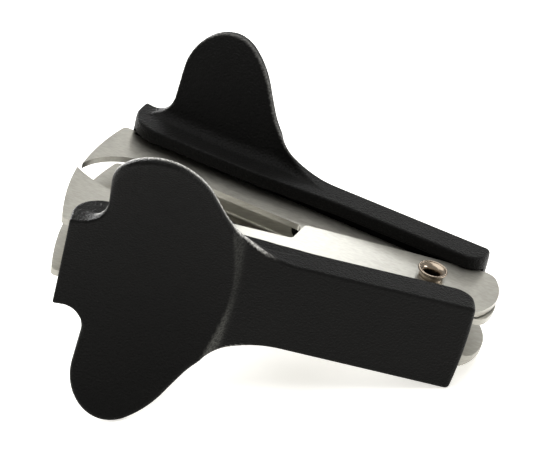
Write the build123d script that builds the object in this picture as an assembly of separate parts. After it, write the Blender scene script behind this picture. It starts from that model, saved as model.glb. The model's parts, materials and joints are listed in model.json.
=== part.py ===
from build123d import *
from math import acos, asin, atan2, cos, degrees, radians, sin, sqrt
import os

# Claw staple remover. Millimetres.
# Each half is drawn in its own flat layout, then swung open about the pivot:
#   +X runs forward from the pivot to the claws,
#   +Y runs outward, from the other half to the finger pad,
#   +Z runs along the pivot rivet.
# The finished tool lies on its side, on the two lower wing lobes and the rear corners of the
# handles: claws toward -X, outer half toward -Y, origin under the middle of its bounding box.

# ---- how the halves stand at rest ----
OPEN_ANGLE = 8.85            # each half from the middle plane, degrees
REST_TILT = 18.53            # lean that brings both lobes and both rear corners to the table

# ---- pressed steel jaws ----
SHEET = 0.9
OUTER_JAW_HALF_WIDTH = 4.55
INNER_JAW_HALF_WIDTH = 3.5
BEND_RADIUS = 1.3            # outside radius of the two long bends
CLAW_REACH = 50.4            # arc of the claw fronts, about the pivot
CLAW_TIP_Y = -6.3
CLAW_HEEL_RADIUS = 0.8       # rounding where the claw front meets the spine
SPINE_REAR_Y = 6.35          # outside of the spine, above the pivot
SPINE_RISE = 0.022           # rise of the spine per millimetre forward
SPINE_REAR_X = -1.9          # the spine stops here; its corner is the opening stop
SPINE_FRONT_X = 48.0
TAIL_CENTRE = (-0.9, -0.5)   # rounded rear end of the side plates
TAIL_RADIUS = 8.75
TAIL_TOP_RUN = 5.6           # the tail arc meets the spine line this far behind its centre
TAIL_CORNER_RADIUS = 2.0
PLATE_EDGE_REAR_Y = -4.25    # lower edge of the deep part of the side plate
PLATE_EDGE_FRONT = (17.8, -5.3)
PLATE_STEP_X = 19.4          # where the deep part has stepped up to the slim part
PLATE_CORNER_RADIUS = 0.8
OUTER_STRIP_Y = -1.15        # lower edge of the slim part
INNER_STRIP_Y = 0.8
OUTER_HOOK_RADIUS = 14.5     # hollow behind each claw
INNER_HOOK_RADIUS = 8.2

# ---- pivot rivet ----
RIVET_RADIUS = 1.5
RIVET_BORE_RADIUS = 1.05
RIVET_FOOT_RADIUS = 1.72     # flared ends: radius where they sit on the plate
RIVET_NECK = (1.74, 0.5)     # points of a flared end: radius, height above the plate
RIVET_FLARE = (2.05, 0.95)
RIVET_CROWN = (1.93, 1.2)
RIVET_LIP = (1.75, 1.05)
RIVET_FUNNEL = (1.28, 0.75)
RIVET_MOUTH = 0.2            # height above the plate where the straight bore ends
RIVET_SEAT_GAP = 0.01
HINGE_CLEARANCE = 0.05

# ---- torsion spring ----
WIRE_RADIUS = 0.4
COIL_RADIUS = 2.15           # to the middle of the wire
COIL_TURNS = 4               # whole turns, before the part turn between the legs
COIL_PITCH = 0.86
LEG_REACH = 13.0             # where the legs bear on the spines
LEG_GAP = 0.03

# ---- moulded grips ----
HANDLE_HALF_WIDTH = 6.65
HANDLE_FACE_Y = 9.2
CAVITY_HALF_WIDTH = 4.7
GRIP_REAR_X = -5.7
GRIP_REAR_BULGE = 0.3
NOSE_X = 48.7
SKIRT_REAR_Y = 4.85          # free edge of the side walls along the handle
SKIRT_FRONT_Y = 3.9          # and under the pad
SKIRT_SLOPE = (14.0, 32.0)   # the free edge comes down between these
SKIRT_SLOPE_RADIUS = 40.0
SKIRT_REAR_RADIUS = 3.0
SKIRT_FRONT_RADIUS = 4.6
WING_SHEET = 1.5
LOBE_CENTRE = (38.6, 14.6)
LOBE_RADIUS = 5.9
WING_FRONT_ANGLE = 3.0       # the front edge leans forward as it goes out
WING_REAR_ANGLE = 33.0       # slope of the rear edge against the wing's length
SHOULDER_RADIUS = 12.0       # flatter arc between the lobe and the rear edge
SHOULDER_ANGLE = 61.0        # it joins the lobe where the edge has this slope
NOTCH_RADIUS = 3.3
WAIST_RADIUS = 14.0
PAD_LOW_X = 35.0             # lowest point of the dished finger pad
PAD_LOW_Y = 8.95
PAD_LONG_RADIUS = 72.0       # pad curvature along the tool
PAD_CROSS_RADIUS = 36.0      # and across it
RAMP_X = 24.4                # where the handle face begins to sweep up to the pad's rear edge
RAMP_BOW_RADIUS = 80.0       # the sweep is bowed, forward at the sides
RAMP_RADIUS = 3.0            # section of the sweep
WEB_Y = 7.7                  # underside of the web that joins handle and wings at the waist
WEB_SLANT = ((24.0, 7.7), (27.5, 9.6))
REAR_CORNER_RADIUS = 0.8
NOSE_EDGE_RADIUS = 0.5
PEG_RADIUS = 1.2             # pegs that hold the grip on the spine
PEG_HEAD_RADIUS = 1.7
PEG_HEAD_HEIGHT = 0.7
PEG_HEAD_EDGE = 0.42         # rounding of the head
PEG_ROOT = 0.5               # length of shank sunk in the grip
PEG_X = (20.0, 42.0)
PEG_CLEARANCE = 0.03
SEAT_GAP = 0.03              # between the spine and the grip
TAIL_ROOM = 0.5              # extra headroom behind the spine, for the other jaw's tail

FAR = 60.0                   # longer than anything in the tool


def on_circle(centre, radius, angle):
    """Point on a circle, the angle in degrees."""
    turn = radians(angle)
    return (centre[0] + radius * cos(turn), centre[1] + radius * sin(turn))


def spine_y(x):
    """Outside of a jaw's spine."""
    return SPINE_REAR_Y + SPINE_RISE * x


def corners_at(face, *points):
    """The corners of a flat face that lie on the given points."""
    found = []
    for point in points:
        found.append(face.vertices().sort_by_distance(Vector(point[0], point[1], 0))[0])
    return found


def edges_near(body, *points):
    """The edge nearest to each of the points."""
    return [body.edges().sort_by_distance(point)[0] for point in points]


def side_plate(strip_y, hook_radius):
    """Side plate outline: round tail, deep plate round the pivot, slim strip, hooked claw."""
    heel_angle = degrees(asin(spine_y(SPINE_FRONT_X) / CLAW_REACH))
    tip_angle = degrees(asin(CLAW_TIP_Y / CLAW_REACH))
    heel = on_circle((0, 0), CLAW_REACH, heel_angle)
    tip = on_circle((0, 0), CLAW_REACH, tip_angle)
    front = on_circle((0, 0), CLAW_REACH, (heel_angle + tip_angle) / 2)

    # the hollow is an arc tangent to the strip that ends at the claw tip
    drop = strip_y - CLAW_TIP_Y
    hollow_x = tip[0] - sqrt(drop * (2 * hook_radius - drop))
    hollow_centre = (hollow_x, strip_y - hook_radius)
    tip_turn = degrees(atan2(tip[1] - hollow_centre[1], tip[0] - hollow_centre[0]))
    hollow = on_circle(hollow_centre, hook_radius, (90 + tip_turn) / 2)

    tail_fall = TAIL_CENTRE[1] - PLATE_EDGE_REAR_Y
    tail_low = (TAIL_CENTRE[0] - sqrt(TAIL_RADIUS**2 - tail_fall**2), PLATE_EDGE_REAR_Y)
    tail_rear = (TAIL_CENTRE[0] - TAIL_RADIUS, TAIL_CENTRE[1])
    tail_rise = sqrt(TAIL_RADIUS**2 - TAIL_TOP_RUN**2)
    tail_top = (TAIL_CENTRE[0] - TAIL_TOP_RUN, TAIL_CENTRE[1] + tail_rise)
    step_foot = (PLATE_STEP_X, strip_y)

    outline = Curve() + [
        ThreePointArc(heel, front, tip),
        ThreePointArc(tip, hollow, (hollow_x, strip_y)),
        Line((hollow_x, strip_y), step_foot),
        Line(step_foot, PLATE_EDGE_FRONT),
        Line(PLATE_EDGE_FRONT, tail_low),
        ThreePointArc(tail_low, tail_rear, tail_top),
        Line(tail_top, heel),
    ]
    face = make_face(outline)
    face = fillet(corners_at(face, step_foot, PLATE_EDGE_FRONT), PLATE_CORNER_RADIUS)
    face = fillet(corners_at(face, tail_low), TAIL_CORNER_RADIUS)
    return fillet(corners_at(face, heel), CLAW_HEEL_RADIUS)


def channel_section(half_width):
    """U section of the folded sheet, open downward, its spine's outside on the X axis."""
    outside = Pos(0, -FAR / 2) * Rectangle(2 * half_width, FAR)
    outside = fillet(outside.vertices().group_by(Axis.Y)[-1], BEND_RADIUS)
    inside = Pos(0, -FAR / 2 - SHEET) * Rectangle(2 * (half_width - SHEET), FAR)
    inside = fillet(inside.vertices().group_by(Axis.Y)[-1], BEND_RADIUS - SHEET)
    return outside - inside


def jaw(half_width, strip_y, hook_radius, bore_radius):
    """Folded channel with two claws. Ahead of and behind the spine the sides are flat plates."""
    plates = extrude(side_plate(strip_y, hook_radius), half_width, both=True)
    along_spine = Plane(origin=(0, spine_y(0), 0), x_dir=(0, 0, -1), z_dir=(1, SPINE_RISE, 0))
    channel = along_spine * extrude(channel_section(half_width), FAR, both=True)
    spine_middle = (SPINE_FRONT_X + SPINE_REAR_X) / 2
    folded = Pos(spine_middle, 0, 0) * Box(SPINE_FRONT_X - SPINE_REAR_X, 4 * FAR, 4 * FAR)
    between_plates = Box(4 * FAR, 4 * FAR, 2 * (half_width - SHEET))
    body = plates - between_plates - folded + (plates & channel & folded)
    body -= Cylinder(bore_radius, 2 * FAR)
    for x in PEG_X:
        body -= Pos(x, spine_y(x), 0) * Rot(90, 0, 0) * Cylinder(PEG_RADIUS + PEG_CLEARANCE, 6)
    return body


def grip_plan():
    """Plan of a grip seen from outside (X forward, Y across): handle, waist, wings and nose."""
    half = HANDLE_HALF_WIDTH
    lean = radians(WING_FRONT_ANGLE)
    front_normal = (cos(lean), -sin(lean))
    lobe_front = (
        LOBE_CENTRE[0] + LOBE_RADIUS * front_normal[0],
        LOBE_CENTRE[1] + LOBE_RADIUS * front_normal[1],
    )
    # the notch arc is tangent to the wing's front edge and to the nose's side
    notch_y = half + NOTCH_RADIUS
    run = (lobe_front[1] + NOTCH_RADIUS * front_normal[1] - notch_y) / cos(lean)
    notch_start = (lobe_front[0] - run * sin(lean), lobe_front[1] - run * cos(lean))
    notch_centre = (notch_start[0] + NOTCH_RADIUS * front_normal[0], notch_y)
    notch_middle = on_circle(notch_centre, NOTCH_RADIUS, 180 + (90 - WING_FRONT_ANGLE) / 2)
    notch_end = (notch_centre[0], half)

    # the shoulder arc is tangent to the lobe and to the wing's straight rear edge
    inset = LOBE_RADIUS - SHOULDER_RADIUS
    shoulder_centre = on_circle(LOBE_CENTRE, inset, 180 - SHOULDER_ANGLE)
    lobe_end = on_circle(LOBE_CENTRE, LOBE_RADIUS, 180 - SHOULDER_ANGLE)
    shoulder_turn = 180 - (SHOULDER_ANGLE + WING_REAR_ANGLE) / 2
    shoulder_middle = on_circle(shoulder_centre, SHOULDER_RADIUS, shoulder_turn)
    shoulder_end = on_circle(shoulder_centre, SHOULDER_RADIUS, 180 - WING_REAR_ANGLE)

    # the waist arc is tangent to the rear edge and to the handle's side
    rear_turn = radians(WING_REAR_ANGLE)
    rear_normal = (-cos(rear_turn), sin(rear_turn))
    waist_y = half + WAIST_RADIUS
    run = (shoulder_end[1] + WAIST_RADIUS * rear_normal[1] - waist_y) / cos(rear_turn)
    waist_start = (shoulder_end[0] - run * sin(rear_turn), shoulder_end[1] - run * cos(rear_turn))
    waist_centre = (waist_start[0] + WAIST_RADIUS * rear_normal[0], waist_y)
    waist_middle = on_circle(waist_centre, WAIST_RADIUS, -(90 + WING_REAR_ANGLE) / 2)
    waist_end = (waist_centre[0], half)
    lobe_top = (LOBE_CENTRE[0], LOBE_CENTRE[1] + LOBE_RADIUS)

    side = [
        Line((NOSE_X, half), notch_end),
        ThreePointArc(notch_end, notch_middle, notch_start),
        Line(notch_start, lobe_front),
        ThreePointArc(lobe_front, lobe_top, lobe_end),
        ThreePointArc(lobe_end, shoulder_middle, shoulder_end),
        Line(shoulder_end, waist_start),
        ThreePointArc(waist_start, waist_middle, waist_end),
        Line(waist_end, (GRIP_REAR_X, half)),
    ]
    other_side = [mirror(edge, Plane.XZ) for edge in side]
    rear_middle = (GRIP_REAR_X - GRIP_REAR_BULGE, 0)
    ends = [
        ThreePointArc((GRIP_REAR_X, half), rear_middle, (GRIP_REAR_X, -half)),
        Line((NOSE_X, -half), (NOSE_X, half)),
    ]
    return make_face(Curve() + side + other_side + ends)


def skirt_outline():
    """Side view of a grip's walls: the free edge below, left tall above for the pad to cut."""
    rear_x = GRIP_REAR_X - GRIP_REAR_BULGE
    rear_corner = (rear_x, SKIRT_REAR_Y)
    slope_top = (SKIRT_SLOPE[0], SKIRT_REAR_Y)
    slope_foot = (SKIRT_SLOPE[1], SKIRT_FRONT_Y)
    front_corner = (NOSE_X, SKIRT_FRONT_Y)
    face = Polygon(
        (rear_x, FAR / 2), rear_corner, slope_top, slope_foot, front_corner, (NOSE_X, FAR / 2),
        align=None,
    )
    face = fillet(corners_at(face, slope_top, slope_foot), SKIRT_SLOPE_RADIUS)
    face = fillet(corners_at(face, rear_corner), SKIRT_REAR_RADIUS)
    return fillet(corners_at(face, front_corner), SKIRT_FRONT_RADIUS)


def pad_ring(extra):
    """Ring whose outer skin is the pad's surface, or the wings' underside with WING_SHEET added."""
    centre_y = PAD_LOW_Y + PAD_LONG_RADIUS
    ring = Torus(PAD_LONG_RADIUS - PAD_CROSS_RADIUS, PAD_CROSS_RADIUS + extra)
    return Pos(PAD_LOW_X, centre_y, 0) * ring


def above_handle():
    """Everything above the handle's flat face, as far as the sweep up to the pad."""
    wall_x = RAMP_X + RAMP_RADIUS
    middle_y = HANDLE_FACE_Y + FAR / 2
    room = Pos(wall_x + 2 * RAMP_RADIUS - FAR, middle_y, 0) * Box(2 * FAR, FAR, FAR)
    upright = Rot(90, 0, 0) * Cylinder(RAMP_BOW_RADIUS, 2 * FAR)
    room -= Pos(wall_x + RAMP_BOW_RADIUS, middle_y, 0) * upright
    return fillet(edges_near(room, (wall_x, HANDLE_FACE_Y, 0)), RAMP_RADIUS)


def waist_web():
    """Where the plan stays filled outside the walls, so that the waist keeps its thickness."""
    outline = Polygon(
        (-FAR, WEB_Y), *WEB_SLANT, (WEB_SLANT[1][0], FAR), (-FAR, FAR),
        align=None,
    )
    return extrude(outline, FAR, both=True)


def grip():
    """Moulded cap over a jaw's spine: handle, two walls, dished finger pad and its wings."""
    plan = extrude(Plane.XZ * grip_plan(), FAR, both=True)
    body = plan & extrude(skirt_outline(), FAR, both=True)

    # outside the walls only the wing sheet is left
    handle_slab = Box(4 * FAR, 4 * FAR, 2 * HANDLE_HALF_WIDTH)
    body -= (plan - handle_slab) - pad_ring(WING_SHEET) - waist_web()

    # the dished pad and the flat handle face
    body -= pad_ring(0)
    body -= above_handle()

    # room for the jaw, open at both ends
    seat = Polygon(
        (-FAR, spine_y(-FAR)), (FAR, spine_y(FAR)), (FAR, -FAR), (-FAR, -FAR),
        align=None,
    )
    body -= Pos(0, SEAT_GAP, 0) * extrude(seat, CAVITY_HALF_WIDTH, both=True)
    headroom = Pos(SPINE_REAR_X - FAR, spine_y(SPINE_REAR_X) + TAIL_ROOM - FAR, 0)
    body -= headroom * Box(2 * FAR, 2 * FAR, 2 * CAVITY_HALF_WIDTH)
    for x in PEG_X:
        body += Pos(x, spine_y(x), 0) * Rot(-90, 0, 0) * peg()
    return softened(body)


def softened(body):
    """Round the edges a hand feels: rear corners and front of the nose."""
    half = HANDLE_HALF_WIDTH
    rear_y = HANDLE_FACE_Y - 1
    rear_corners = edges_near(body, (GRIP_REAR_X, rear_y, half), (GRIP_REAR_X, rear_y, -half))
    body = fillet(rear_corners, REAR_CORNER_RADIUS)
    nose_top = (NOSE_X, 2 * HANDLE_FACE_Y, 0)
    return fillet(edges_near(body, nose_top), NOSE_EDGE_RADIUS)


def peg():
    """Peg through the spine with its head spread on the inside; built upward from the head."""
    through = SHEET + 2 * PEG_CLEARANCE
    standing = (Align.CENTER, Align.CENTER, Align.MIN)
    hanging = (Align.CENTER, Align.CENTER, Align.MAX)
    shank = Cylinder(PEG_RADIUS, through + PEG_ROOT, align=standing)
    head = Cylinder(PEG_HEAD_RADIUS, PEG_HEAD_HEIGHT, align=hanging)
    head = fillet(head.edges().group_by(Axis.Z)[0], PEG_HEAD_EDGE)
    return Pos(0, 0, -through) * (shank + head)


def above_plate(point):
    """Point of the rivet's outline, its height measured from the outer jaw's plate."""
    return (point[0], point[1] + OUTER_JAW_HALF_WIDTH)


def pivot_rivet():
    """Tubular rivet, both ends flared over the outer jaw."""
    foot = above_plate((RIVET_FOOT_RADIUS, 0))
    flare = above_plate(RIVET_FLARE)
    lip = above_plate(RIVET_LIP)
    mouth = above_plate((RIVET_BORE_RADIUS, RIVET_MOUTH))
    shank_end = above_plate((RIVET_RADIUS, 0))
    edges = [
        Line((RIVET_BORE_RADIUS, 0), (RIVET_RADIUS, 0)),
        Line((RIVET_RADIUS, 0), shank_end),
        Line(shank_end, foot),
        ThreePointArc(foot, above_plate(RIVET_NECK), flare),
        ThreePointArc(flare, above_plate(RIVET_CROWN), lip),
        ThreePointArc(lip, above_plate(RIVET_FUNNEL), mouth),
        Line(mouth, (RIVET_BORE_RADIUS, 0)),
    ]
    half = revolve(Plane.XZ * make_face(Curve() + edges), Axis.Z)
    return half + mirror(half, Plane.XY)


def torsion_spring():
    """Coil round the rivet with one leg bearing on each spine; drawn about the pivot, halves open."""
    # the leg runs from the coil's outer side, on a tangent, to just under the spine
    spine_inside = spine_y(LEG_REACH) - SHEET
    leg_end = (LEG_REACH, spine_inside - WIRE_RADIUS - LEG_GAP)
    reach = sqrt(leg_end[0] ** 2 + leg_end[1] ** 2)
    leave_turn = degrees(atan2(leg_end[1], leg_end[0]) + acos(COIL_RADIUS / reach))
    leg_length = sqrt(reach**2 - COIL_RADIUS**2)

    # in the tool's own directions the legs leave at plus and minus this angle
    leave_angle = 180 - OPEN_ANGLE - leave_turn
    turns = COIL_TURNS + 2 * leave_angle / 360
    height = turns * COIL_PITCH
    coil = Pos(0, 0, -height / 2) * Rot(0, 0, -leave_angle) * Helix(COIL_PITCH, height, COIL_RADIUS)
    ahead = Vector(-sin(radians(leave_angle)), cos(radians(leave_angle)), 0)
    last_leg = Spline(coil @ 1, coil @ 1 + ahead * leg_length, tangents=(coil % 1, ahead))
    back = Vector(ahead.X, -ahead.Y, 0)
    first_leg = Spline(coil @ 0 + back * leg_length, coil @ 0, tangents=(-back, coil % 0))
    path = Wire([first_leg.edge(), coil.edge(), last_leg.edge()])
    section = Plane(origin=path @ 0, z_dir=path % 0) * Circle(WIRE_RADIUS)
    return sweep(section, path)


def outer_half(shape):
    """Swing a layout to the outer half's rest position."""
    return Rot(0, 0, 180 + OPEN_ANGLE) * shape


def inner_half(shape):
    """Turn a layout over and swing it to the inner half's rest position."""
    return Rot(0, 0, 180 - OPEN_ANGLE) * Rot(180, 0, 0) * shape


rivet_hole = RIVET_RADIUS + RIVET_SEAT_GAP
hinge_hole = RIVET_RADIUS + HINGE_CLEARANCE
cap = grip()
parts = {
    "outer_jaw": outer_half(jaw(OUTER_JAW_HALF_WIDTH, OUTER_STRIP_Y, OUTER_HOOK_RADIUS, rivet_hole)),
    "inner_jaw": inner_half(jaw(INNER_JAW_HALF_WIDTH, INNER_STRIP_Y, INNER_HOOK_RADIUS, hinge_hole)),
    "outer_jaw_grip": outer_half(cap),
    "inner_jaw_grip": inner_half(cap),
    "pivot_rivet": pivot_rivet(),
    "torsion_spring": torsion_spring(),
}

# lean the tool back on its lobes and set the origin under its middle
lean = Rot(0, REST_TILT, 0)
whole = Compound([lean * shape for shape in parts.values()]).bounding_box()
place = Pos(-(whole.min.X + whole.max.X) / 2, -(whole.min.Y + whole.max.Y) / 2, -whole.min.Z) * lean

os.makedirs("parts", exist_ok=True)
for name, shape in parts.items():
    export_step(place * shape, f"parts/{name}.step")
    print(name, "volume", round(shape.volume, 1), "solids", len(shape.solids()))
print("size", whole.size, "pivot", (place * Vertex(0, 0, 0)).center())
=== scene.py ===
import json
import math

import bpy
import numpy as np
from mathutils import Matrix, Vector


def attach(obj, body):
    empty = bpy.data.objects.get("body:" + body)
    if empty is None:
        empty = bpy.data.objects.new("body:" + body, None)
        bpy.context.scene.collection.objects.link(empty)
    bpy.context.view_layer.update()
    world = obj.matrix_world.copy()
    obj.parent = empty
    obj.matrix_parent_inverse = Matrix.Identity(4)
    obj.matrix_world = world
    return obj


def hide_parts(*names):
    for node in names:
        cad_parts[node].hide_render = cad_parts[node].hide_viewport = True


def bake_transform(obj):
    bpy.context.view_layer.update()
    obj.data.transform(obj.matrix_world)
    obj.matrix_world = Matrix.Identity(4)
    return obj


# Claw staple remover, life size in metres. The grips are drawn in the tool's own layout, in
# millimetres: X runs forward from the pivot to the claws, Y outward to the finger pad and Z along
# the rivet. Each half's layout is then turned about the pivot and leaned as the tool stands.

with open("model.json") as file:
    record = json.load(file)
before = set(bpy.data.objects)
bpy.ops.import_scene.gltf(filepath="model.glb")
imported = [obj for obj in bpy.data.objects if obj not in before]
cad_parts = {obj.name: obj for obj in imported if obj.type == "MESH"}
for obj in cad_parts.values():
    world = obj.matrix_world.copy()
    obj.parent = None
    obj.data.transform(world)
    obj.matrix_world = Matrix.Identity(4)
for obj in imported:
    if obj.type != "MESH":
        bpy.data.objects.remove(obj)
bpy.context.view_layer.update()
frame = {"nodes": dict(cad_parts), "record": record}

MM = 0.001
JOINT = frame["record"]["behaviour"]["joints"][0]
PIVOT = Vector(JOINT["pos_m"])
HINGE_AXIS = Vector(JOINT["axis"])
OPEN_ANGLE = math.radians(8.85)
LEAN = math.atan2(HINGE_AXIS.x, HINGE_AXIS.z)
TOOL = Matrix.Translation(PIVOT) @ Matrix.Rotation(LEAN, 4, "Y")
OUTER_HALF = TOOL @ Matrix.Rotation(math.pi + OPEN_ANGLE, 4, "Z")
INNER_HALF = TOOL @ Matrix.Rotation(math.pi - OPEN_ANGLE, 4, "Z") @ Matrix.Rotation(math.pi, 4, "X")


# ---------------------------------------------------------------- shape of a grip, millimetres

HALF_WIDTH = 6.65
FACE_Y = 9.2                 # flat face of the handle
REAR_X = -5.7
REAR_BULGE = 0.3
NOSE_X = 48.7
CAVITY = 4.7                 # half the width of the room for the jaw
SEAT = (6.38, 0.022)         # where the spine seats: height above the pivot, rise per millimetre
SPINE_REAR_X = -1.9
TAIL_ROOM = 0.5              # extra headroom behind the spine
WING_SHEET = 1.5
PAD_LOW = (35.0, 8.95)       # lowest point of the dished pad
PAD_LONG_RADIUS = 72.0
PAD_CROSS_RADIUS = 36.0
RAMP_X = 24.4                # where the handle face begins to sweep up to the pad
RAMP_BOW_RADIUS = 80.0
RAMP_RADIUS = 3.0
WEB_Y = 7.7                  # underside of the web at the waist
WEB_SLANT = ((24.0, 7.7), (27.5, 9.6))
LOBE = (38.6, 14.6)
LOBE_RADIUS = 5.9
FRONT_LEAN = math.radians(3.0)
REAR_LEAN = math.radians(33.0)
SHOULDER_RADIUS = 12.0
SHOULDER_LEAN = math.radians(61.0)
NOTCH_RADIUS = 3.3
WAIST_RADIUS = 14.0
OVERRUN = 20.0               # how far the outline runs on past both ends of the grip
SKIRT_REAR_Y = 4.85          # free edge of the walls along the handle
SKIRT_FRONT_Y = 3.9          # and under the pad
SKIRT_SLOPE = (14.0, 32.0)   # the free edge comes down between these
SKIRT_REAR_RADIUS = 3.0
SKIRT_FRONT_RADIUS = 4.6
PEG_X = (20.0, 42.0)
PEG_RADIUS = 1.2
PEG_HALF_LENGTH = 1.1        # of the shank, from the outside of the spine both ways
PEG_HEAD_RADIUS = 1.7
PEG_HEAD = (0.96, 1.66)      # top and bottom of the head, below the outside of the spine
PEG_HEAD_EDGE = 0.2
SPINE_DROP = 0.03            # outside of the spine, below the seat

# roundings of a grip
RIM_RADIUS = 0.3             # round the handle and the nose
WING_RIM_RADIUS = 0.85       # round the wings' upper rims
WING_RIM_ACROSS = (7.0, 11.0)    # the rim goes from one to the other between these
WING_BACK_RADIUS = 0.3
SKIRT_EDGE_RADIUS = 0.3
REAR_CORNER_RADIUS = 0.8
CREST_RADIUS = 0.25          # where the sweep meets the pad
WING_ROOT_RADIUS = 1.5
WEB_RADIUS = 1.0
CAVITY_EDGE_RADIUS = 0.12

# painted rim highlight with wear, painted sweep sheen with coarse texture, and mesh of a grip
RIM_HIGHLIGHT_AND_WEAR_REACH = 0.40        # how far along a rim's wall from the back the painted highlight and rubbing reach
RIM_HIGHLIGHT_AND_WEAR_DEPTH = 0.14        # and how far in from the wall
RIM_HIGHLIGHT_AND_WEAR_START = 0.2         # the painted highlight and rubbing begin this far out from the handle's side
RIM_HIGHLIGHT_AND_WEAR_FADE = 1.5          # and come in over this much more
SWEEP_SHEEN_AND_GRAIN_DEPTH = 0.15          # how near the sweep's surface the painted sheen and coarse texture lie
SWEEP_SHEEN_AND_GRAIN_START = 0.03          # they begin this high above the handle face
SWEEP_SHEEN_AND_GRAIN_FADE = 0.35           # and come in over this much more
SWEEP_SHEEN_AND_GRAIN_UPPER_SHARE = 0.4     # how strong the painted sheen and coarse texture are at the sweep's upper end, against its lower end
SWEEP_SHEEN_AND_GRAIN_TURN = (2.0, -7.0)    # they strengthen between these heights, in the half's own layout
GRIP_CELL = 0.30
SETTLE_STEPS = 3             # times the vertices are moved onto the surface
SETTLE_REACH = 0.4           # farthest move each time, as a share of a cell
MIN_SLOPE_SQUARED = 0.25     # keeps a move short where the field is flat


def both(a, b, radius):
    """Distance field of what is inside both a and b, the edge between them rounded."""
    corner = np.hypot(np.maximum(a + radius, 0), np.maximum(b + radius, 0))
    return np.minimum(np.maximum(a, b), -radius) + corner


def either(a, b, radius):
    """Distance field of what is inside a or b, the corner between them filled."""
    return -both(-a, -b, radius)


def ease(share):
    """Smooth step from 0 to 1."""
    share = np.clip(share, 0, 1)
    return share * share * (3 - 2 * share)


def arc(centre, radius, start, end, steps):
    """Points along an arc, the angles in radians."""
    turns = np.linspace(start, end, steps)
    return [(centre[0] + radius * math.cos(t), centre[1] + radius * math.sin(t)) for t in turns]


def wing_outline():
    """One wing's edge in plan, from ahead of the nose round the notch, lobe and waist to the rear."""
    front_normal = (math.cos(FRONT_LEAN), -math.sin(FRONT_LEAN))
    rear_normal = (-math.cos(REAR_LEAN), math.sin(REAR_LEAN))
    front = (LOBE[0] + LOBE_RADIUS * front_normal[0], LOBE[1] + LOBE_RADIUS * front_normal[1])
    notch_y = HALF_WIDTH + NOTCH_RADIUS
    run = (front[1] + NOTCH_RADIUS * front_normal[1] - notch_y) / math.cos(FRONT_LEAN)
    notch_x = front[0] - run * math.sin(FRONT_LEAN) + NOTCH_RADIUS * front_normal[0]
    inset = LOBE_RADIUS - SHOULDER_RADIUS
    shoulder = (LOBE[0] - inset * math.cos(SHOULDER_LEAN), LOBE[1] + inset * math.sin(SHOULDER_LEAN))
    rear = (shoulder[0] + SHOULDER_RADIUS * rear_normal[0], shoulder[1] + SHOULDER_RADIUS * rear_normal[1])
    waist_y = HALF_WIDTH + WAIST_RADIUS
    run = (rear[1] + WAIST_RADIUS * rear_normal[1] - waist_y) / math.cos(REAR_LEAN)
    waist_x = rear[0] - run * math.sin(REAR_LEAN) + WAIST_RADIUS * rear_normal[0]
    points = [(NOSE_X + OVERRUN, HALF_WIDTH)]
    points += arc((notch_x, notch_y), NOTCH_RADIUS, 1.5 * math.pi, math.pi - FRONT_LEAN, 14)
    points += arc(LOBE, LOBE_RADIUS, -FRONT_LEAN, math.pi - SHOULDER_LEAN, 36)
    points += arc(shoulder, SHOULDER_RADIUS, math.pi - SHOULDER_LEAN, math.pi - REAR_LEAN, 18)
    points += arc((waist_x, waist_y), WAIST_RADIUS, -REAR_LEAN, -0.5 * math.pi, 24)
    points += [(REAR_X - OVERRUN, HALF_WIDTH)]
    return np.array(points)


WING_OUTLINE = wing_outline()


def plan(x, z):
    """Distance to the plan outline, negative inside."""
    z = np.abs(z)
    nearest = np.full(np.broadcast(x, z).shape, np.inf)
    for (ax, az), (bx, bz) in zip(WING_OUTLINE[:-1], WING_OUTLINE[1:]):
        dx, dz = bx - ax, bz - az
        t = np.clip(((x - ax) * dx + (z - az) * dz) / (dx * dx + dz * dz), 0, 1)
        nearest = np.minimum(nearest, np.hypot(x - ax - t * dx, z - az - t * dz))
    # a point is inside where a ray from it, out across the tool, meets the outline an odd number of times
    crossings = np.zeros(nearest.shape, int)
    for (ax, az), (bx, bz) in zip(WING_OUTLINE[:-1], WING_OUTLINE[1:]):
        spans = (ax > x) != (bx > x)
        cross_z = az + (x - ax) / (bx - ax if bx != ax else 1e-9) * (bz - az)
        crossings += spans & (cross_z > z)
    inside = crossings % 2 == 1
    return np.where(inside, -nearest, nearest)


def below_pad(x, y, z):
    """Distance below the dished face of the finger pad, which is part of a ring's surface."""
    ring_y = PAD_LOW[1] + PAD_LONG_RADIUS
    ring = np.hypot(np.hypot(x - PAD_LOW[0], y - ring_y) - (PAD_LONG_RADIUS - PAD_CROSS_RADIUS), z)
    return ring - PAD_CROSS_RADIUS


def above_sweep(x, y, z):
    """Distance above the handle face and the bowed sweep that rises from it to the pad."""
    ahead = np.hypot(x - RAMP_X - RAMP_RADIUS - RAMP_BOW_RADIUS, z) - RAMP_BOW_RADIUS
    return either(y - FACE_Y, ahead, RAMP_RADIUS)


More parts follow.
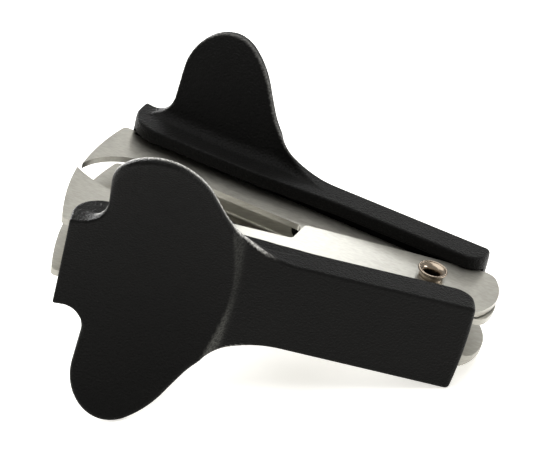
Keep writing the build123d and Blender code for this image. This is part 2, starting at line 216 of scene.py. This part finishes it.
def grip_field(x, y, z):
    """Distance field of a moulded grip, negative in the plastic."""
    across = np.abs(z)
    pad_depth = below_pad(x, y, z)
    top = both(-pad_depth, above_sweep(x, y, z), CREST_RADIUS)

    # walls between the sides; beyond them the wing sheet, and a web that fills the waist
    (start_x, start_y), (end_x, end_y) = WEB_SLANT
    length = math.hypot(end_x - start_x, end_y - start_y)
    slant = ((x - start_x) * (end_y - start_y) - (y - start_y) * (end_x - start_x)) / length
    web = both(WEB_Y - y, slant, WEB_RADIUS)
    sheet = either(pad_depth - WING_SHEET, web, WEB_RADIUS)
    body = either(across - HALF_WIDTH, sheet, WING_ROOT_RADIUS)
    outline = plan(x, z)
    out_on_wing = ease((across - WING_RIM_ACROSS[0]) / (WING_RIM_ACROSS[1] - WING_RIM_ACROSS[0]))
    rim = RIM_RADIUS + (WING_RIM_RADIUS - RIM_RADIUS) * out_on_wing
    back = WING_BACK_RADIUS * ease(across - HALF_WIDTH)
    shape = both(both(outline, top, rim), body, back)

    # free edge of the walls, rear end and nose
    fall = ease((x - SKIRT_SLOPE[0]) / (SKIRT_SLOPE[1] - SKIRT_SLOPE[0]))
    edge_y = SKIRT_REAR_Y + (SKIRT_FRONT_Y - SKIRT_REAR_Y) * fall
    rear = REAR_X - REAR_BULGE * (1 - (z / HALF_WIDTH) ** 2) - x
    ends = both(both(edge_y - y, rear, SKIRT_REAR_RADIUS), x - NOSE_X, SKIRT_FRONT_RADIUS)
    shape = both(shape, rear, REAR_CORNER_RADIUS)
    shape = both(shape, ends, SKIRT_EDGE_RADIUS)

    # room for the jaw
    seat_y = SEAT[0] + SEAT[1] * x + np.where(x < SPINE_REAR_X, TAIL_ROOM, 0)
    cavity = both(across - CAVITY, y - seat_y, CAVITY_EDGE_RADIUS)
    shape = both(shape, -cavity, CAVITY_EDGE_RADIUS)

    # pegs through the spine, their heads spread inside it
    for peg_x in PEG_X:
        spine_y = SEAT[0] - SPINE_DROP + SEAT[1] * peg_x
        reach = np.hypot(x - peg_x, z)
        shank = np.maximum(reach - PEG_RADIUS, np.abs(y - spine_y) - PEG_HALF_LENGTH)
        depth = spine_y - y
        flats = np.maximum(PEG_HEAD[0] - depth, depth - PEG_HEAD[1])
        head = both(reach - PEG_HEAD_RADIUS, flats, PEG_HEAD_EDGE)
        shape = np.minimum(shape, np.minimum(shank, head))
    return shape


def slope_of(field, points, reach=0.01):
    """Gradient of a field at points, by small differences."""
    columns = []
    for axis in range(3):
        step = np.zeros(3)
        step[axis] = reach
        ahead, behind = points + step, points - step
        columns.append((field(*ahead.T) - field(*behind.T)) / (2 * reach))
    return np.stack(columns, axis=1)


def crossing_points(value, inside, counts):
    """For each cell the surface crosses, the mean of its edges' crossings, and the cell's number."""
    total = np.zeros(counts + [3])
    hits = np.zeros(counts)
    for axis in range(3):
        others = [a for a in range(3) if a != axis]
        for offset in ((0, 0), (0, 1), (1, 0), (1, 1)):
            start = [0, 0, 0]
            start[others[0]], start[others[1]] = offset
            end = list(start)
            end[axis] = 1
            near = tuple(slice(s, s + n) for s, n in zip(start, counts))
            far = tuple(slice(s, s + n) for s, n in zip(end, counts))
            crossed = inside[near] != inside[far]
            gap = np.where(crossed, value[near] - value[far], 1)
            along = np.where(crossed, value[near] / gap, 0)
            hits += crossed
            for other in range(3):
                shift = along if other == axis else float(start[other])
                total[..., other] += np.where(crossed, shift, 0)
    used = hits > 0
    where = np.argwhere(used)
    number = np.full(counts, -1)
    number[used] = np.arange(len(where))
    return where + total[used] / hits[used][:, None], number


def quads_between(inside, number, counts):
    """One quad round each grid edge that the surface crosses, joining the four cells about it."""
    faces = []
    for axis in range(3):
        one, two = [(axis + 1) % 3, (axis + 2) % 3]
        inner = [slice(1, n) for n in counts]
        inner[axis] = slice(0, counts[axis])
        ahead = list(inner)
        ahead[axis] = slice(1, counts[axis] + 1)
        here, there = inside[tuple(inner)], inside[tuple(ahead)]
        edges = np.argwhere(here != there)
        outward = here[tuple(edges.T)]
        edges[:, one] += 1
        edges[:, two] += 1
        corners = []
        for back_one, back_two in ((1, 1), (0, 1), (0, 0), (1, 0)):
            spot = edges.copy()
            spot[:, one] -= back_one
            spot[:, two] -= back_two
            corners.append(number[tuple(spot.T)])
        quads = np.stack(corners, axis=1)
        quads[~outward] = quads[~outward][:, ::-1]
        faces.append(quads)
    return np.concatenate(faces)


def skin(field, low, high, cell):
    """Quads over the zero surface of a field, one vertex in each cell it crosses, and the normals."""
    axes = [np.arange(a, b + cell, cell) for a, b in zip(low, high)]
    value = field(axes[0][:, None, None], axes[1][None, :, None], axes[2][None, None, :])
    inside = value < 0
    counts = [len(a) - 1 for a in axes]
    places, number = crossing_points(value, inside, counts)
    points = places * cell + np.array([a[0] for a in axes])
    faces = quads_between(inside, number, counts)

    farthest = SETTLE_REACH * cell
    for _ in range(SETTLE_STEPS):
        slope = slope_of(field, points)
        size = np.maximum((slope**2).sum(axis=1, keepdims=True), MIN_SLOPE_SQUARED)
        move = field(*points.T)[:, None] * slope / size
        points = points - np.clip(move, -farthest, farthest)
    normals = slope_of(field, points)
    normals /= np.maximum(np.linalg.norm(normals, axis=1, keepdims=True), 1e-6)
    return points, faces, normals


def near(distance, reach, fade=1.5):
    """1 on a surface, falling to 0 at a distance of the reach times the fade."""
    return ease(fade - np.abs(distance) / reach)


def rim_highlight_and_wear_at(x, y, z):
    """How much painted highlight and rubbing the grip has at a point: 1 on the edge where a wing's wall
    meets its back.
    """
    on_wall = near(plan(x, z), RIM_HIGHLIGHT_AND_WEAR_DEPTH)
    by_back = near(WING_SHEET - below_pad(x, y, z), RIM_HIGHLIGHT_AND_WEAR_REACH, 1.6)
    on_wing = ease((np.abs(z) - HALF_WIDTH - RIM_HIGHLIGHT_AND_WEAR_START) / RIM_HIGHLIGHT_AND_WEAR_FADE)
    return on_wall * by_back * on_wing


def sweep_sheen_and_grain_at(x, y, z):
    """Painted sheen with coarse spark-eroded texture: 1 on the sweep behind the pad, most of all at its
    lower end.
    """
    on_sweep = near(above_sweep(x, y, z), SWEEP_SHEEN_AND_GRAIN_DEPTH)
    off_handle = ease((y - FACE_Y - SWEEP_SHEEN_AND_GRAIN_START) / SWEEP_SHEEN_AND_GRAIN_FADE)
    down = ease((SWEEP_SHEEN_AND_GRAIN_TURN[0] - z) / (SWEEP_SHEEN_AND_GRAIN_TURN[0] - SWEEP_SHEEN_AND_GRAIN_TURN[1]))
    return on_sweep * off_handle * (SWEEP_SHEEN_AND_GRAIN_UPPER_SHARE + (1 - SWEEP_SHEEN_AND_GRAIN_UPPER_SHARE) * down)


def moulding(name, shape, matrix, body, material, rim_highlight_share):
    """A smooth piece placed in the frame, riding on a body; its rims may carry a painted highlight with
    rubbing.
    """
    points, faces, normals = shape
    turn = np.array(matrix.to_3x3())
    placed = points * MM @ turn.T + np.array(matrix.translation)
    mesh = bpy.data.meshes.new(name)
    mesh.from_pydata(placed.tolist(), [], faces.tolist())
    mesh.polygons.foreach_set("use_smooth", [True] * len(mesh.polygons))
    mesh.normals_split_custom_set_from_vertices((normals @ turn.T).tolist())
    mesh.materials.append(material)
    # painted highlight along the rims, with rubbing, kept as a vertex attribute
    rim_highlight_and_wear = mesh.attributes.new("rim_highlight_and_wear", "FLOAT", "POINT")
    rim_highlight_and_wear.data.foreach_set("value", rim_highlight_share * rim_highlight_and_wear_at(*points.T))
    # painted sheen on the sweep, with its coarse grain, kept as a vertex attribute
    sweep_sheen_and_grain = mesh.attributes.new("sweep_sheen_and_grain", "FLOAT", "POINT")
    sweep_sheen_and_grain.data.foreach_set("value", sweep_sheen_and_grain_at(*points.T))
    made = bpy.data.objects.new(name, mesh)
    bpy.context.collection.objects.link(made)
    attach(made, body)
    return made


# ---------------------------------------------------------------- torsion spring, millimetres

WIRE_RADIUS = 0.4
WIRE_SIDES = 14
WIRE_CHAMFER = 0.1           # share of the wire's radius
COIL_RADIUS = 2.15           # to the middle of the wire
COIL_PITCH = 0.86
COIL_TURNS = 4               # whole turns, before the part turn between the legs
LEG_END = (13.0, 5.306)      # just under a spine, in that half's own layout
STEPS_PER_TURN = 40
LEG_STEPS = 12


def spring_line():
    """Middle of the wire in the tool's own directions: outer half's leg, coil, inner half's leg."""
    reach = math.hypot(*LEG_END)
    from_leg = math.atan2(LEG_END[1], LEG_END[0]) + math.acos(COIL_RADIUS / reach)
    leave = math.pi - OPEN_ANGLE - from_leg
    turns = COIL_TURNS + leave / math.pi
    height = turns * COIL_PITCH
    share = np.linspace(0, 1, int(turns * STEPS_PER_TURN))
    angle = -leave + share * turns * 2 * math.pi
    round_coil = COIL_RADIUS * np.cos(angle), COIL_RADIUS * np.sin(angle)
    coil = np.stack([*round_coil, (share - 0.5) * height], axis=1)
    length = math.sqrt(reach**2 - COIL_RADIUS**2)
    far = np.linspace(0, length, LEG_STEPS)[1:, None]
    inner_leg = coil[-1] + far * np.array((-math.sin(leave), math.cos(leave), 0))
    outer_leg = coil[0] + far * np.array((-math.sin(leave), -math.cos(leave), 0))
    return np.concatenate([outer_leg[::-1], coil, inner_leg])


def wire(line, radius, sides):
    """Round wire along a line, its cut ends slightly chamfered: points and faces."""
    along = np.gradient(line, axis=0)
    along /= np.linalg.norm(along, axis=1, keepdims=True)
    across = np.cross(along, (0, 0, 1))
    across /= np.linalg.norm(across, axis=1, keepdims=True)
    up = np.cross(across, along)
    turn = np.linspace(0, 2 * math.pi, sides, endpoint=False)
    spokes = across[:, None] * np.cos(turn)[None, :, None] + up[:, None] * np.sin(turn)[None, :, None]
    rings = line[:, None] + spokes * radius
    chamfer = WIRE_CHAMFER * radius
    first = line[0] - along[0] * chamfer + spokes[0] * (radius - chamfer)
    last = line[-1] + along[-1] * chamfer + spokes[-1] * (radius - chamfer)
    rings = np.concatenate([first[None], rings, last[None]])
    points = rings.reshape(-1, 3)
    faces = []
    for ring in range(len(rings) - 1):
        for side in range(sides):
            after = (side + 1) % sides
            low, high = ring * sides, (ring + 1) * sides
            faces.append((low + side, low + after, high + after, high + side))
    faces.append(tuple(reversed(range(sides))))
    faces.append(tuple(range(len(points) - sides, len(points))))
    return points, faces


# ---------------------------------------------------------------- looks

PLASTIC_DARK = (0.0022, 0.0022, 0.0022)
PLASTIC_LIGHT = (0.0042, 0.0041, 0.0038)
# painted highlight on the wings' rims, pale with rubbing too
RIM_HIGHLIGHT_AND_WEAR_PLASTIC = (0.70, 0.69, 0.66)
# painted sheen on the sweep behind the pad, with its coarse grain
SWEEP_SHEEN_AND_GRAIN_PLASTIC = (0.060, 0.060, 0.055)
PLASTIC_GRAIN_SCALE = 3600   # per metre, as every texture scale here
PLASTIC_CLOUD_SCALE = 160
PLASTIC_ROUGHNESS = (0.36, 0.46)
PLASTIC_SPECULAR = 0.075
PLASTIC_BUMP = 0.0002        # metres
PATCHES = (0.35, 0.6)        # noise values between which the painted rim highlight with rubbing and the painted sweep sheen with coarse texture come in
PATCH_FLOOR = 0.25           # share of them that shows even between patches

STEEL_MARKS_SCALE = (110, 3600, 3600)
STEEL_CLOUD_SCALE = 220
STEEL_MARKS_SHARE = 0.7      # of the colour variation; the rest is cloud
STEEL_DARK_SHARE = 0.84      # of the tint, in the marks
STEEL_MARKS_RANGE = (0.4, 0.6)
STEEL_ROUGHNESS_RANGE = (0.9, 1.15)
STEEL_BUMP_STRENGTH = 0.08
STEEL_BUMP = 0.00001         # metres


def new_material(name):
    """Empty node material with its shader."""
    material = bpy.data.materials.new(name)
    material.use_nodes = True
    tree = material.node_tree
    return material, tree.nodes, tree.links, tree.nodes["Principled BSDF"]


def noise(nodes, links, vector, scale, detail):
    """Noise texture read at a vector."""
    texture = nodes.new("ShaderNodeTexNoise")
    texture.inputs["Scale"].default_value = scale
    texture.inputs["Detail"].default_value = detail
    links.new(vector, texture.inputs["Vector"])
    return texture.outputs["Fac"]


def ramp(nodes, links, value, dark, light, between=(0, 1)):
    """Colour that goes from dark to light as a value rises between two limits."""
    colour = nodes.new("ShaderNodeValToRGB")
    first, last = colour.color_ramp.elements
    first.position, last.position = between
    first.color = (*dark, 1)
    last.color = (*light, 1)
    links.new(value, colour.inputs["Fac"])
    return colour.outputs["Color"]


def ranged(nodes, links, value, low, high, between=(0, 1)):
    """Number that goes from low to high as a value rises between two limits."""
    mapped = nodes.new("ShaderNodeMapRange")
    mapped.inputs["From Min"].default_value = between[0]
    mapped.inputs["From Max"].default_value = between[1]
    mapped.inputs["To Min"].default_value = low
    mapped.inputs["To Max"].default_value = high
    links.new(value, mapped.inputs["Value"])
    return mapped.outputs["Result"]


def laid_over(nodes, links, under, attribute, patches, tint):
    """A tint laid over a colour where a mesh attribute calls for it, broken up into patches."""
    marked = nodes.new("ShaderNodeAttribute")
    marked.attribute_name = attribute
    shown = nodes.new("ShaderNodeMath")
    shown.operation = "MULTIPLY"
    links.new(marked.outputs["Fac"], shown.inputs[0])
    links.new(patches, shown.inputs[1])
    mixed = nodes.new("ShaderNodeMix")
    mixed.data_type = "RGBA"
    mixed.inputs["B"].default_value = (*tint, 1)
    links.new(shown.outputs["Value"], mixed.inputs["Factor"])
    links.new(under, mixed.inputs["A"])
    return mixed.outputs["Result"]


def add_bump(nodes, links, shader, height, strength, distance):
    """Fine relief on a shader."""
    bump = nodes.new("ShaderNodeBump")
    bump.inputs["Strength"].default_value = strength
    bump.inputs["Distance"].default_value = distance
    links.new(height, bump.inputs["Height"])
    links.new(bump.outputs["Normal"], shader.inputs["Normal"])


def grip_plastic():
    """Black moulded plastic: low sheen, fine spark-eroded grain, pale with a painted highlight and rubbing
    on the rims, and pale with a painted sheen and coarse grain on the sweep.
    """
    material, nodes, links, shader = new_material("black_plastic")
    where = nodes.new("ShaderNodeTexCoord").outputs["Object"]
    grain = noise(nodes, links, where, PLASTIC_GRAIN_SCALE, 3)
    cloud = noise(nodes, links, where, PLASTIC_CLOUD_SCALE, 4)
    patches = ranged(nodes, links, grain, PATCH_FLOOR, 1, PATCHES)
    colour = ramp(nodes, links, cloud, PLASTIC_DARK, PLASTIC_LIGHT)
    # painted highlight with rubbing on the rims
    colour = laid_over(nodes, links, colour, "rim_highlight_and_wear", patches, RIM_HIGHLIGHT_AND_WEAR_PLASTIC)
    # painted sheen with coarse grain on the sweep
    colour = laid_over(nodes, links, colour, "sweep_sheen_and_grain", patches, SWEEP_SHEEN_AND_GRAIN_PLASTIC)
    links.new(colour, shader.inputs["Base Color"])
    links.new(ranged(nodes, links, cloud, *PLASTIC_ROUGHNESS), shader.inputs["Roughness"])
    shader.inputs["Specular IOR Level"].default_value = PLASTIC_SPECULAR
    add_bump(nodes, links, shader, grain, 1, PLASTIC_BUMP)
    return material


def across_marks(nodes, links):
    """Direction in the surface, across rolling marks that run along the tool, as the piece turns."""
    marks = nodes.new("ShaderNodeCombineXYZ")
    marks.inputs["X"].default_value = math.cos(LEAN)
    marks.inputs["Z"].default_value = -math.sin(LEAN)
    turned = nodes.new("ShaderNodeVectorTransform")
    turned.vector_type = "VECTOR"
    turned.convert_from = "OBJECT"
    turned.convert_to = "WORLD"
    links.new(marks.outputs["Vector"], turned.inputs["Vector"])
    surface = nodes.new("ShaderNodeNewGeometry")
    across = nodes.new("ShaderNodeVectorMath")
    across.operation = "CROSS_PRODUCT"
    links.new(surface.outputs["Normal"], across.inputs[0])
    links.new(turned.outputs["Vector"], across.inputs[1])
    return across.outputs["Vector"]


def plated_steel(name, tint, roughness, satin=0, brushed=0):
    """Nickel-plated steel with fine rolling marks along the tool; satin is its matt share.

    The marks blur mirror images across themselves more than along; brushed is how much, 0 to 1.
    """
    material, nodes, links, shader = new_material(name)
    where = nodes.new("ShaderNodeTexCoord").outputs["Object"]
    along = nodes.new("ShaderNodeMapping")
    along.inputs["Rotation"].default_value = (0, LEAN, 0)
    along.inputs["Scale"].default_value = STEEL_MARKS_SCALE
    links.new(where, along.inputs["Vector"])
    marks = noise(nodes, links, along.outputs["Vector"], 1, 3)
    cloud = noise(nodes, links, where, STEEL_CLOUD_SCALE, 3)
    tone = nodes.new("ShaderNodeMix")
    tone.inputs["Factor"].default_value = STEEL_MARKS_SHARE
    links.new(cloud, tone.inputs["A"])
    links.new(marks, tone.inputs["B"])
    dark = [STEEL_DARK_SHARE * c for c in tint]
    colour = ramp(nodes, links, tone.outputs["Result"], dark, tint, STEEL_MARKS_RANGE)
    links.new(colour, shader.inputs["Base Color"])
    gloss = [roughness * share for share in STEEL_ROUGHNESS_RANGE]
    links.new(ranged(nodes, links, marks, *gloss), shader.inputs["Roughness"])
    shader.inputs["Metallic"].default_value = 1 - satin
    shader.inputs["Anisotropic"].default_value = brushed
    links.new(across_marks(nodes, links), shader.inputs["Tangent"])
    add_bump(nodes, links, shader, marks, STEEL_BUMP_STRENGTH, STEEL_BUMP)
    return material


BLACK_PLASTIC = grip_plastic()
JAW_STEEL = plated_steel("jaw_nickel", (0.40, 0.389, 0.350), 0.31, satin=0.05, brushed=0.8)
RIVET_NICKEL = plated_steel("rivet_nickel", (0.29, 0.24, 0.19), 0.20)
SPRING_STEEL = plated_steel("spring_wire", (0.50, 0.48, 0.45), 0.25)


# ---------------------------------------------------------------- pieces

OUTER_RIM_HIGHLIGHT_AND_WEAR = 1.0          # the near grip's rims get the painted highlight and are worn pale, the far one's hardly
INNER_RIM_HIGHLIGHT_AND_WEAR = 0.15
GRIP_MARGIN = 0.9            # of the box that a grip is drawn in
GRIP_LOW = (REAR_X - REAR_BULGE - GRIP_MARGIN, 3.0, -21.3)
GRIP_HIGH = (NOSE_X + GRIP_MARGIN, 17.4, 21.3)
BROKEN_EDGE = 0.08
BEVEL_ANGLE = math.radians(35)


def grips():
    """The two moulded grips, in place of the CAD ones."""
    shape = skin(grip_field, GRIP_LOW, GRIP_HIGH, GRIP_CELL)
    for half, matrix, rim_highlight_share in (("outer", OUTER_HALF, OUTER_RIM_HIGHLIGHT_AND_WEAR), ("inner", INNER_HALF, INNER_RIM_HIGHLIGHT_AND_WEAR)):
        grip = moulding(f"{half}_grip_moulding", shape, matrix, f"{half}_half", BLACK_PLASTIC, rim_highlight_share)
        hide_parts(f"{half}_jaw_grip")


def spring():
    """Torsion spring between the halves: each leg lies under its own spine, the coil turns between."""
    points, faces = wire(spring_line(), WIRE_RADIUS, WIRE_SIDES)
    placed = points * MM @ np.array(TOOL.to_3x3()).T + np.array(TOOL.translation)
    mesh = bpy.data.meshes.new("spring_coil")
    mesh.from_pydata(placed.tolist(), [], faces)
    mesh.polygons.foreach_set("use_smooth", [len(face) == 4 for face in faces])
    mesh.materials.append(SPRING_STEEL)
    made = bpy.data.objects.new("spring_coil", mesh)
    bpy.context.collection.objects.link(made)
    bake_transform(made)
    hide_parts("torsion_spring")


def plated(node, material):
    """Give a CAD node its steel."""
    obj = frame["nodes"][node]
    obj.data.materials.clear()
    obj.data.materials.append(material)
    return obj


def edged(obj):
    """Break an object's sharp edges, as pressing and tumbling do."""
    bevel = obj.modifiers.new("broken_edges", "BEVEL")
    bevel.width = BROKEN_EDGE * MM
    bevel.segments = 2
    bevel.limit_method = "ANGLE"
    bevel.angle_limit = BEVEL_ANGLE
    bevel.harden_normals = True


grips()
spring()
edged(plated("outer_jaw", JAW_STEEL))
edged(plated("inner_jaw", JAW_STEEL))
plated("pivot_rivet", RIVET_NICKEL)


# ---------------------------------------------------------------- floor, light and camera

FLOOR_HALF = 1.2             # metres
FLOOR_DROP = 0.00005
FLOOR_GREYS = ((0.90, 0.90, 0.90), (0.93, 0.93, 0.93))
WARM_WHITE = (1, 0.98, 0.92)
COOL_WHITE = (0.95, 0.97, 1.0)
WORLD_COLOUR = (1, 0.985, 0.94, 1)
WORLD_STRENGTH = 0.6
FLOOR_GLOW = 0.6             # as bright as the world, so the floor melts into it
AIM = (-0.005, 0, 0.015)     # where every lamp points

VIEW_ANGLES = (4.69, 30.92, 15.6)    # azimuth, elevation and roll in the tool's frame, degrees
VIEW_DISTANCE = 268.8        # millimetres
VIEW_CENTRE = (-22.8, 0, 0)
VIEW_SHIFT = (1.583, 3.578)  # right and up, from the centre to the middle of the picture
LENS = 128.0


def floor():
    """Plain pale sheet under the tool."""
    half = FLOOR_HALF
    mesh = bpy.data.meshes.new("floor")
    corners = [(-half, -half, 0), (half, -half, 0), (half, half, 0), (-half, half, 0)]
    mesh.from_pydata(corners, [], [(0, 1, 2, 3)])
    obj = bpy.data.objects.new("floor", mesh)
    bpy.context.collection.objects.link(obj)
    obj.location.z = -FLOOR_DROP
    material, nodes, links, shader = new_material("pale_floor")
    where = nodes.new("ShaderNodeTexCoord").outputs["Generated"]
    speck = noise(nodes, links, where, 40, 2)
    links.new(ramp(nodes, links, speck, *FLOOR_GREYS), shader.inputs["Base Color"])
    shader.inputs["Roughness"].default_value = 0.8
    shader.inputs["Emission Color"].default_value = (*WARM_WHITE, 1)
    shader.inputs["Emission Strength"].default_value = FLOOR_GLOW
    mesh.materials.append(material)


def softbox(name, place, size, power, colour=(1, 1, 1)):
    """Area light at a place in metres, facing the tool; power in watts."""
    data = bpy.data.lights.new(name, "AREA")
    data.shape = "RECTANGLE"
    data.size, data.size_y = size
    data.energy = power
    data.color = colour
    obj = bpy.data.objects.new(name, data)
    bpy.context.collection.objects.link(obj)
    obj.location = place
    obj.rotation_mode = "QUATERNION"
    obj.rotation_quaternion = (Vector(AIM) - Vector(place)).to_track_quat("-Z", "Y")


def studio():
    """Even light all round, a soft box overhead, and low ones that the steel and the rims mirror."""
    world = bpy.data.worlds.new("studio")
    bpy.context.scene.world = world
    world.use_nodes = True
    background = world.node_tree.nodes["Background"]
    background.inputs["Color"].default_value = WORLD_COLOUR
    background.inputs["Strength"].default_value = WORLD_STRENGTH
    softbox("overhead", (0, 0.05, 0.6), (0.7, 0.7), 3.4)
    softbox("behind", (0.055, 0.43, 0.276), (0.075, 0.2), 0.29, COOL_WHITE)
    softbox("horizon_left", (-0.36, 0.46, 0.155), (0.18, 0.11), 2.4)
    softbox("horizon_right", (0.20, 0.55, 0.18), (0.16, 0.08), 0.15)
    softbox("right_low", (0.50, 0.12, 0.05), (0.30, 0.09), 0.7)


def camera():
    """The photograph's viewing angle, fitted in the tool's own frame."""
    azimuth, elevation, roll = (math.radians(a) for a in VIEW_ANGLES)
    back = Vector((
        math.sin(azimuth) * math.cos(elevation),
        -math.cos(azimuth) * math.cos(elevation),
        math.sin(elevation),
    ))
    level = Vector((math.cos(azimuth), math.sin(azimuth), 0))
    upright = back.cross(level)
    right = level * math.cos(roll) + upright * math.sin(roll)
    up = upright * math.cos(roll) - level * math.sin(roll)
    target = Vector(VIEW_CENTRE) + right * VIEW_SHIFT[0] + up * VIEW_SHIFT[1]
    place = (target + back * VIEW_DISTANCE) * MM
    turn = Matrix((right, up, back)).transposed().to_4x4()
    data = bpy.data.cameras.new("camera")
    data.sensor_width = 36
    data.lens = LENS
    data.clip_start, data.clip_end = 0.01, 10
    obj = bpy.data.objects.new("camera", data)
    bpy.context.collection.objects.link(obj)
    obj.matrix_world = TOOL @ Matrix.Translation(place) @ turn
    bpy.context.scene.camera = obj


floor()
studio()
camera()
bpy.context.scene.view_settings.view_transform = "Standard"
